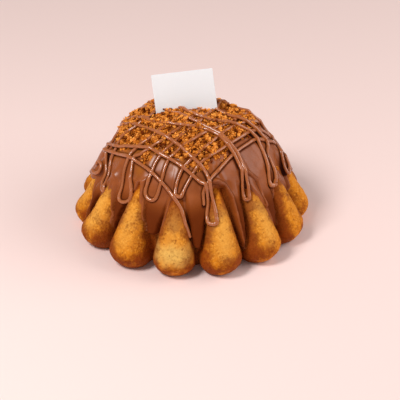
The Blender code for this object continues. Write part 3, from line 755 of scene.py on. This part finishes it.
# the crumbs
crumbs = {
    # name: how many, smallest and largest, divisions of the lump, how high they heap
    "kinds": (("fineCrumbs", 10000, 0.6, 1.1, 1, 1.4),
              ("middleCrumbs", 9000, 0.9, 1.7, 1, 2.0),
              ("coarseCrumbs", 1000, 1.7, 3.0, 2, 1.6)),
    "tries": 6,              # places tried for each
    "crowding": 2.2,         # how much sooner they stay where they lie thick
    "clear": 1.5,            # most stay this far from a strand's middle
    "strandShare": 0.3,      # the part of them that lies on a strand all the same
    "onStrand": 1.8,         # and how high they lie there
    "besideStrand": (1.0, 4.5),  # heaps begin and are full so far from a strand's middle
    "mostlySmall": 1.6,
    "mostlyLow": 1.5,
    # how far down they lie, by azimuth in degrees, and how soft that edge is
    "limitAt": (-180, -113, -85, -58, -34, -22, -13, 0, 10, 21, 35, 52, 71, 94, 130, 180),
    "limit": (74, 76, 77, 63, 57, 58, 61, 66, 70, 63, 57, 54, 57, 64, 72, 74),
    "limitFade": (-13.0, 1.0),
    "patchSize": 17.0,       # of the thicker and thinner patches
    "patchShift": 4.0,       # how far those move the edge
    "patchDensity": (0.9, 0.45),     # how thick they lie on average, and how much that varies
    "clumps": (((-40, -45), 4.5), ((84, -30), 2.5)),   # clumps by themselves, and how wide
    "cardFoot": (-29.0, 23.0, 2.0),    # where the card stands, left, right, back: they lie low there,
    "cardReach": (2.0, 12.0),    # so near it, and as high as elsewhere so far from it
    "byCard": (0.4, 0.3),    # what is left of the bed and of its unevenness there
    "bed": (2.1, 1.1),       # how thick the finest lie, and how much less, so that thin places are bare
    "bedGrain": ((0.6, 6.5), (0.5, 2.8), (0.2, 1.5)),    # unevenness: height, size
    "bedStep": 0.6,
    "bedColumns": 784,
    "variants": 12,
    "reach": 86.0,
    # the crumbs' own colours from light to dark, which also carry the painted light and shade of the bed's
    # relief
    "light": (0.90, 0.36, 0.062),
    "middle": (0.58, 0.16, 0.010),
    "dark": (0.15, 0.022, 0.001),
    "shade": (0.32, 0.27),   # how light the loose ones are, and how unlike each other
    "reliefLightAndShade": (0.6, 0.85),   # painted light where the bed and the loose ones stand up, painted shade in the hollows
    "mottle": (500.0, 1600.0, 0.5),
    "roughness": (0.6, 0.85),
    "bump": (0.6, 0.0004),
    "shine": 0.08,
}


def crumbMaterial():
    material, tree, shader = newMaterial("biscuitCrumb")
    tone, grain = mottle(tree, *crumbs["mottle"])
    # shade holds each crumb's own tone and the painted light and shade of the relief
    shade = mathNode(tree, "ADD", valueOf(tree, "shade"), rangeNode(tree, tone, 0.3, 0.7, -0.15, 0.15))
    colour = mixNode(tree, rangeNode(tree, shade, 0.0, 0.5), crumbs["dark"], crumbs["middle"])
    colour = mixNode(tree, rangeNode(tree, shade, 0.45, 1.0), colour, crumbs["light"])
    finishWith(tree, shader, colour, rangeNode(tree, tone, 0.3, 0.7, *crumbs["roughness"]),
               bumpNode(tree, grain, *crumbs["bump"]))
    shader.inputs["Specular IOR Level"].default_value = crumbs["shine"]
    return material


def lumpShapes(divisions, draw):
    work = bmesh.new()
    bmesh.ops.create_icosphere(work, subdivisions=divisions, radius=1.0)
    work.verts.ensure_lookup_table()
    ball = np.array([v.co for v in work.verts])
    triangles = np.array([[v.index for v in f.verts] for f in work.faces])
    work.free()
    shapes = []
    for _ in range(crumbs["variants"]):
        stretch = draw.uniform(0.6, 1.25, 3)
        shapes.append(ball * stretch * draw.uniform(0.62, 1.2, (len(ball), 1)))
    return np.array(shapes), triangles


def crumbDensity(right, back):
    azimuth, arc = rolledUp(right, back)
    patch = flatLumps(right, back, crumbs["patchSize"], 61)
    limit = np.interp(np.degrees(azimuth), crumbs["limitAt"], crumbs["limit"])
    thin, none = crumbs["limitFade"]
    density = 1.0 - smoothStep(limit + thin, limit + none, arc + crumbs["patchShift"] * patch)
    middle, vary = crumbs["patchDensity"]
    density = density * np.clip(middle + vary * patch, 0.2, 1.0)
    for place, wide in crumbs["clumps"]:
        density = np.maximum(density, np.exp(-(np.hypot(right - place[0], back - place[1]) / wide) ** 2))
    return density


def awayFromCard(right, back):
    left, end, foot = crumbs["cardFoot"]
    away = np.hypot(right - np.clip(right, left, end), back - foot)
    return smoothStep(*crumbs["cardReach"], away)


def crumbBed(right, back):
    # how thick the finest crumbs lie, below zero where there are none, and how they undulate
    soft, humps, fine = crumbs["bedGrain"]
    grain = soft[0] * flatLumps(right, back, soft[1], 62)
    grain = grain + humps[0] * np.abs(flatLumps(right, back, humps[1], 63))
    grain = grain + fine[0] * flatLumps(right, back, fine[1], 64)
    thick, lack = crumbs["bed"]
    away = awayFromCard(right, back)
    bedLeft, grainLeft = (left + (1.0 - left) * away for left in crumbs["byCard"])
    density = crumbDensity(right, back)
    bare = 2.0 * (1.0 - smoothStep(0.0, 0.15, density))
    return thick * density * bedLeft - lack - bare + grain * grainLeft, grain


def makeCrumbBed(material):
    arcs = np.arange(crumbs["reach"], 1.0, -crumbs["bedStep"])
    azimuth, arc, triangles = domeSheet(arcs, crumbs["bedColumns"])
    bed, grain = crumbBed(*unrolled(azimuth, arc))
    kept = triangles[np.max(bed[triangles], axis=1) > -0.1]
    used, flat = np.unique(kept, return_inverse=True)
    rise, _ = coatSkin(azimuth[used], arc[used])
    points = domePoint(azimuth[used], arc[used], rise + np.clip(bed[used], -0.4, None))
    # the bed is painted lighter where it stands up and darker in its hollows
    piece = meshPiece("crumbBed", points, flat.reshape(kept.shape), material,
                      {"shade": np.clip(crumbs["reliefLightAndShade"][0] * grain[used], 0.0, 1.0)}, False)
    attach(piece, "root")


def crumbPlaces(count, strands, draw):
    # right, back, density and the distance to the nearest strand, for each crumb that stays
    tried = crumbs["tries"] * count
    right = draw.uniform(-crumbs["reach"], crumbs["reach"], tried)
    back = draw.uniform(-crumbs["reach"], crumbs["reach"], tried)
    density = crumbDensity(right, back)
    keep = np.nonzero(draw.uniform(size=tried) < density ** crumbs["crowding"])[0][:count]
    right, back, density = right[keep], back[keep], density[keep]
    near = strandDistance(right, back, strands)
    lucky = draw.uniform(size=len(right)) < crumbs["strandShare"] * density
    stay = (near >= crumbs["clear"]) | lucky
    return right[stay], back[stay], density[stay], near[stay]


def looseCrumbs(count, small, large, divisions, heap, strands, draw):
    # most are small and lie low; each is a lump of its own, turned at random
    shapes, faces = lumpShapes(divisions, draw)
    right, back, density, near = crumbPlaces(count, strands, draw)
    number = len(right)
    size = small + (large - small) * draw.uniform(size=number) ** crumbs["mostlySmall"]
    bed, grain = crumbBed(right, back)
    beside = smoothStep(*crumbs["besideStrand"], near)
    heaped = heap * density * beside * draw.uniform(size=number) ** crumbs["mostlyLow"]
    heaped = heaped * awayFromCard(right, back) + crumbs["onStrand"] * (near < crumbs["clear"])
    azimuth, arc = rolledUp(right, back)
    rise, _ = coatSkin(azimuth, arc)
    places = domePoint(azimuth, arc, rise + np.clip(bed, 0.0, None) + 0.3 * size + heaped)
    spins = np.linalg.qr(draw.normal(size=(number, 3, 3)))[0]
    which = draw.integers(0, crumbs["variants"], number)
    corners = shapes[which] * (0.5 * size)[:, None, None]
    points = np.einsum("nij,nvj->nvi", spins, corners) + places[:, None, :]
    each = points.shape[1]
    triangles = faces[None] + (np.arange(number) * each)[:, None, None]
    # each crumb's own tone, with painted light where the bed stands up and painted shade in its hollows
    shade = draw.normal(*crumbs["shade"], number) + crumbs["reliefLightAndShade"][1] * grain
    return points.reshape(-1, 3), triangles.reshape(-1, 3), np.repeat(np.clip(shade, 0.0, 1.0), each)


def makeCrumbs(strands):
    material = crumbMaterial()
    makeCrumbBed(material)
    draw = np.random.default_rng(71)
    for name, *kind in crumbs["kinds"]:
        points, triangles, shade = looseCrumbs(*kind, strands, draw)
        piece = meshPiece(name, points, triangles, material, {"shade": shade}, False)
        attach(piece, "root")


# the drizzle
drizzle = {
    "radius": 1.4,
    "sides": 12,
    "step": 0.8,
    "sag": 0.012,            # how readily a strand follows a dip
    "overCrumbs": 1.6,       # how high it lies where the crumbs are thick
    "overCrumbsArc": (8.0, 45.0),    # from none near the apex to all of that
    "overStrand": (1.9, 2.3),    # how high it climbs over the strand below, and over what width
    "bunch": ((-82, -2), 13.0, 2.8),     # where the strands pile up, how far around, how high
    "lift": (0.6, 0.8),      # how high the middle of the first strand lies, and of the later ones
    "settle": 300,           # steps in which it comes to lie over the dips
    "wobble": (0.5, 26.0),   # of the pour: distance, size
    "uneven": ((0.09, 22.0), (0.05, 7.0)),   # how its width varies: share, size
    "bendFat": (1.2, 0.2),   # how much fatter it is in a bend, and at most
    "flatness": 0.92,        # its height for a width of one
    "endLength": 1.5,        # over which its ends are rounded off
    "inside": (0.0, 0.0, 30.0),  # a place in the cake that its flat sides face
    # where each strand was poured, as places (right, back) of the apex on the unrolled dome;
    # a row of four is a hanging loop: one leg's top, its lowest point, the other leg's top, its width
    "passToRight": (
        (0, -125), (-4, -113), (-8, -100), (-14, -89), (-30, -66), (-44, -51), (-55, -38), (-67, -25),
        ((-80, -9), (-87, 8), (-76, -4), 5),
        (-68, -15), (-59, -23), (-40, -35), (-28, -45), (-8, -60), (8, -72),
        ((15, -77), (24, -106), (19, -77), 8),
        (13, -65), (-4, -47), (-22, -30), (-36, -17),
        ((-47, -5), (-62, 18), (-49, 10), 6),
        (-38, -2), (-26, -13), (-8, -21), (11, -25), (30, -36),
        ((45, -54), (60, -76), (50, -55), 5),
        (41, -43), (30, -33), (16, -24), (-2, -12), (-24, 8),
        ((-44, 34), (-60, 58), (-36, 36), 9),
        (-14, 10), (8, -10), (28, -12), (45, -11), (56, -14),
        ((67, -25), (88, -46), (73, -21), 6),
        (70, -8), (48, -2), (27, 1), (6, 20),
        ((-18, 52), (-38, 84), (-8, 52), 12),
        (16, 32), (38, 24), (55, 22), (72, 22), (84, 14),
        ((91, 1), (107, -8), (97, 4), 5),
        (94, 16), (84, 30), (62, 36), (36, 37), (12, 50), (2, 74), (4, 100),
    ),
    "passToBack": (
        (-66, 92), (-58, 62), (-55, 38), (-64, 20), (-76, 8),
        (-83, -10), (-90, -17), (-95, -29), (-97, -41), (-94, -47),
        (-91, -42), (-88, -34), (-83, -25), (-77, -17),
        (-62, -9), (-50, -7), (-34, 2), (-24, 24),
        ((-24, 60), (-26, 98), (-12, 58), 13),
        (-4, 26), (-9, -6), (-24, -20), (-36, -28), (-48, -31),
        ((-57, -37), (-72, -73), (-53, -41), 15),
        (-44, -39), (-32, -37), (-20, -31), (-2, -14), (10, 14),
        ((16, 56), (16, 98), (30, 54), 14),
        (24, 18), (8, -14), (-10, -34), (-22, -43),
        ((-28, -50), (-42, -81), (-20, -54), 14),
        (-14, -48), (0, -37), (16, -25), (34, -8), (48, 18),
        ((56, 42), (72, 72), (66, 36), 13),
        (58, 12), (40, -8), (21, -32), (5, -50),
        ((-8, -62), (-13, -84), (3, -65), 7),
        (15, -52), (30, -38), (44, -21), (60, 0),
        ((76, 14), (104, 34), (86, 12), 12),
        (72, -2), (57, -17), (40, -40), (27, -57), (18, -70), (12, -80), (13, -92),
    ),
    "curl": (
        (-105, -6), (-103, -14), (-98, -18), (-93, -14), (-94, -8), (-99, -8),
    ),
    "colour": (0.40, 0.115, 0.026),
    "deep": (0.27, 0.062, 0.010),
    "roughness": 0.27,
    "shine": 0.5,
    "gloss": 0.55,
    "glossRoughness": 0.12,
    "relief": 0.35,
}


def smoothCurve(points, step):
    # a smooth line through the points, sampled about every step
    points = np.asarray(points, float)
    ends = np.vstack((2 * points[0] - points[1], points, 2 * points[-1] - points[-2]))
    samples = []
    for a, b, c, d in zip(ends, ends[1:], ends[2:], ends[3:]):
        pieces = max(1, int(round(np.linalg.norm(c - b) / step)))
        for t in np.arange(pieces) / pieces:
            samples.append(0.5 * (2 * b + (c - a) * t + (2 * a - 5 * b + 4 * c - d) * t * t
                                  + (3 * b - 3 * c + d - a) * t ** 3))
    samples.append(points[-1])
    return np.array(samples)


def strandPath(rows):
    # the places of a strand in order, with each hanging loop as a leg, a round end and a leg
    path = []
    for row in rows:
        if len(row) == 2:
            path.append(np.array(row, float))
            continue
        legIn, bottom, legOut = (np.array(place, float) for place in row[:3])
        hang = bottom - (legIn + legOut) / 2.0
        hang = hang / np.linalg.norm(hang)
        across = np.array((hang[1], -hang[0]))
        side = 1.0 if np.dot(legIn - legOut, across) > 0.0 else -1.0
        offset = side * across * row[3] / 2.0
        up = hang * row[3] * 0.5
        path += [legIn, bottom + offset - up, bottom + offset * 0.5,
                 bottom - offset * 0.5, bottom - offset - up, legOut]
    return path


def layStrand(path, lift, over=None):
    # lie on the cake, bridge the small dips, climb over the strand that was poured first
    curve = smoothCurve(path, drizzle["step"])
    wander, size = drizzle["wobble"]
    curve = curve + wander * np.stack([flatLumps(*curve.T, size, seed) for seed in (41, 42)], -1)
    azimuth, arc = rolledUp(*curve.T)
    coat, _ = coatSkin(azimuth, arc)
    rise = np.maximum(coat, spongeSkin(azimuth, arc)) + lift
    place, reach, high = drizzle["bunch"]
    rise = rise + high * np.exp(-(np.linalg.norm(curve - np.array(place), axis=1) / reach) ** 2)
    crumbsThere = crumbDensity(*curve.T) * smoothStep(*drizzle["overCrumbsArc"], arc)
    rise = rise + drizzle["overCrumbs"] * crumbsThere
    if over is not None:
        centres = domePoint(azimuth, arc, rise)
        near = np.full(len(centres), far)
        for part in np.array_split(over, max(1, len(over) // 400)):
            gap = np.linalg.norm(centres[:, None, :] - part[None, :, :], axis=2)
            near = np.minimum(near, gap.min(axis=1))
        climb, width = drizzle["overStrand"]
        rise = rise + climb * np.exp(-(near / width) ** 2)
    laid = rise.copy()
    for _ in range(drizzle["settle"]):
        laid[1:-1] = np.maximum(rise[1:-1], 0.5 * (laid[:-2] + laid[2:]) - drizzle["sag"])
    return domePoint(azimuth, arc, laid), curve


def sweepStrand(centres, seed):
    # a round tube along the strand, fatter in its bends and rounded off at its ends
    forward = np.gradient(centres, axis=0)
    forward /= np.linalg.norm(forward, axis=1)[:, None]
    side = np.cross(forward, centres - np.array(drizzle["inside"]))
    side /= np.linalg.norm(side, axis=1)[:, None]
    up = np.cross(side, forward)
    bend = np.linalg.norm(np.gradient(forward, axis=0), axis=1)
    bend = np.convolve(np.pad(bend, 4, "edge"), np.ones(9) / 9.0, "valid")
    along = np.concatenate(([0.0], np.cumsum(np.linalg.norm(np.diff(centres, axis=0), axis=1))))
    fromEnd = np.minimum(along, along[-1] - along)
    wide = drizzle["radius"] * (1.0 + layeredLumps(centres, drizzle["uneven"], seed))
    fat, most = drizzle["bendFat"]
    end = np.sqrt(np.clip(fromEnd / drizzle["endLength"], 0.02, 1.0))
    wide = wide * (1.0 + np.clip(fat * bend, 0.0, most)) * end
    sides = drizzle["sides"]
    angle = 2.0 * math.pi * np.arange(sides) / sides
    ring = (np.cos(angle)[None, :, None] * side[:, None, :]
            + drizzle["flatness"] * np.sin(angle)[None, :, None] * up[:, None, :])
    points = (centres[:, None, :] + wide[:, None, None] * ring).reshape(-1, 3)
    count = len(centres)
    i = np.repeat(np.arange(count - 1) * sides, sides)
    k = np.tile(np.arange(sides), count - 1)
    a, b = i + k, i + (k + 1) % sides
    triangles = np.concatenate((np.stack((a, b, b + sides), -1), np.stack((a, b + sides, a + sides), -1)))
    k = np.arange(1, sides - 1)
    last = (count - 1) * sides
    caps = np.concatenate((np.stack((np.zeros_like(k), k + 1, k), -1),
                           np.stack((last + np.zeros_like(k), last + k, last + k + 1), -1)))
    return points, np.concatenate((triangles, caps))


def makeDrizzle():
    first, later = drizzle["lift"]
    backCentres, backPlaces = layStrand(strandPath(drizzle["passToBack"]), first)
    rightCentres, rightPlaces = layStrand(strandPath(drizzle["passToRight"]), later, backCentres)
    curlCentres, _ = layStrand(strandPath(drizzle["curl"]), later, rightCentres)
    material = chocolateMaterial("drizzledChocolate", drizzle)
    for name, centres, seed in (("drizzleToBack", backCentres, 51), ("drizzleToRight", rightCentres, 53),
                                ("drizzleCurl", curlCentres, 55)):
        piece = meshPiece(name, *sweepStrand(centres, seed), material)
        work = bmesh.new()
        work.from_mesh(piece.data)
        bmesh.ops.recalc_face_normals(work, faces=work.faces)
        work.to_mesh(piece.data)
        work.free()
        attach(piece, "root")
        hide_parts("chocolate_coat")
    return np.vstack((backPlaces, rightPlaces))


# the card
card = {
    "width": 52.0,
    "height": 36.0,
    "thickness": 0.6,
    "tilt": 7.0,             # its foot rises this many degrees to the right
    "lean": 12.0,            # and it leans back
    "corner": (22.6, 5.0, 107.0),    # the foot's right end
    "softCorner": 0.5,
    "softRim": 0.12,
    "paper": (0.86, 0.885, 0.90),
    "shaded": (0.84, 0.87, 0.91),
    "mottle": (90.0, 1400.0, 0.6),
    "roughness": (0.5, 0.62),
    "bump": (0.12, 0.0002),
}


def cardMaterial():
    material, tree, shader = newMaterial("paperCard")
    tone, grain = mottle(tree, *card["mottle"])
    colour = mixNode(tree, rangeNode(tree, tone, 0.3, 0.7, 0.0, 0.12), card["paper"], card["shaded"])
    finishWith(tree, shader, colour, rangeNode(tree, tone, 0.3, 0.7, *card["roughness"]),
               bumpNode(tree, grain, *card["bump"]))
    return material


def makeCard():
    work = bmesh.new()
    bmesh.ops.create_cube(work, size=1.0)
    for vertex in work.verts:
        vertex.co.x = (vertex.co.x - 0.5) * card["width"]
        vertex.co.y = vertex.co.y * card["thickness"]
        vertex.co.z = (vertex.co.z + 0.5) * card["height"]
    upright = [e for e in work.edges if abs(e.verts[0].co.y - e.verts[1].co.y) > 0.1]
    bmesh.ops.bevel(work, geom=upright, offset=card["softCorner"], segments=4, affect="EDGES")
    rims = [e for e in work.edges if abs(e.verts[0].co.y - e.verts[1].co.y) < 1e-4
            and len(e.link_faces) == 2 and e.calc_face_angle(0.0) > 0.6]
    bmesh.ops.bevel(work, geom=rims, offset=card["softRim"], segments=2, affect="EDGES")
    bmesh.ops.triangulate(work, faces=work.faces)
    work.verts.index_update()
    local = np.array([v.co for v in work.verts])
    # the bevel lists its faces in another order each run, so they are sorted
    faces = [[v.index for v in f.verts] for f in work.faces]
    triangles = sorted(min(face[turn:] + face[:turn] for turn in range(3)) for face in faces)
    work.free()
    tilt, lean = math.radians(card["tilt"]), math.radians(card["lean"])
    x = local[:, 0] * math.cos(tilt) - local[:, 2] * math.sin(tilt)
    z = local[:, 0] * math.sin(tilt) + local[:, 2] * math.cos(tilt)
    y = local[:, 1] * math.cos(lean) + z * math.sin(lean)
    z = z * math.cos(lean) - local[:, 1] * math.sin(lean)
    points = np.stack((x, y, z), -1) + np.array(card["corner"])
    piece = meshPiece("paperCard", points, triangles, cardMaterial(), None, False)
    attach(piece, "root")
    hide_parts("card")


# the camera; the frame, the middle and the focal length are in the picture's pixels
view = {
    "elevation": 33.0,
    "frame": 400.0,
    "middleX": 191.0,        # where the middle of the cake's foot is seen
    "middleY": 217.5,
    "pixelsPerMm": 1.15,
    "focal": 2155.0,
    "sensor": 36.0,          # mm
}


def makeCamera():
    rise = math.radians(view["elevation"])
    distance = view["focal"] / view["pixelsPerMm"] * mm
    shiftRight = (view["middleX"] - view["frame"] / 2.0) / view["focal"] * distance
    shiftUp = -(view["middleY"] - view["frame"] / 2.0) / view["focal"] * distance
    forward = np.array((0.0, math.cos(rise), -math.sin(rise)))
    upward = np.array((0.0, math.sin(rise), math.cos(rise)))
    lens = bpy.data.cameras.new("photoCamera")
    lens.sensor_width = view["sensor"]
    lens.lens = view["focal"] * lens.sensor_width / view["frame"]
    lens.clip_end = 100.0
    camera = bpy.data.objects.new("photoCamera", lens)
    camera.location = -shiftRight * np.array((1.0, 0.0, 0.0)) - shiftUp * upward - distance * forward
    camera.rotation_euler = (math.pi / 2.0 - rise, 0.0, 0.0)
    scene.collection.objects.link(camera)
    scene.camera = camera


# the floor and the lights, in metres
studio = {
    "floorSize": 6.0,
    "floor": (0.90, 0.70, 0.66),
    "floorRoughness": 0.7,
    "worldColour": (1.0, 0.93, 0.89),
    "world": 0.33,
    "aim": (0.0, 0.0, 0.05),
    # where, how wide, how strong
    "lights": (((-0.60, -0.48, 1.05), 0.42, 11.8),
               ((1.10, -0.05, 0.70), 1.20, 9.5),
               ((-0.1, -1.2, 0.50), 0.5, 0.5)),
}


def makeStudio():
    material, _, shader = newMaterial("paleFloor")
    shader.inputs["Base Color"].default_value = (*studio["floor"], 1.0)
    shader.inputs["Roughness"].default_value = studio["floorRoughness"]
    half = studio["floorSize"] / 2.0 / mm
    corners = [(-half, -half, 0), (half, -half, 0), (half, half, 0), (-half, half, 0)]
    floor = meshPiece("floor", corners, [(0, 1, 2), (0, 2, 3)], material, None, False)
    world = bpy.data.worlds.new("softWorld")
    scene.world = world
    world.use_nodes = True
    background = world.node_tree.nodes["Background"]
    background.inputs["Color"].default_value = (*studio["worldColour"], 1.0)
    background.inputs["Strength"].default_value = studio["world"]
    for number, (where, wide, power) in enumerate(studio["lights"]):
        lamp = bpy.data.lights.new("softbox%d" % number, "AREA")
        lamp.shape = "DISK"
        lamp.size = wide
        lamp.energy = power
        holder = bpy.data.objects.new(lamp.name, lamp)
        holder.location = where
        away = np.subtract(where, studio["aim"])
        yaw = math.atan2(away[1], away[0])
        pitch = math.acos(away[2] / np.linalg.norm(away))
        holder.rotation_euler = (0.0, pitch, yaw)
        scene.collection.objects.link(holder)
    scene.view_settings.view_transform = "Standard"


makeCamera()
makeStudio()
print("camera, floor and lights ready")
makeSponge()
strands = makeDrizzle()
makeCoat(strands)
makeCrumbs(strands)
makeCard()
print("pieces ready")
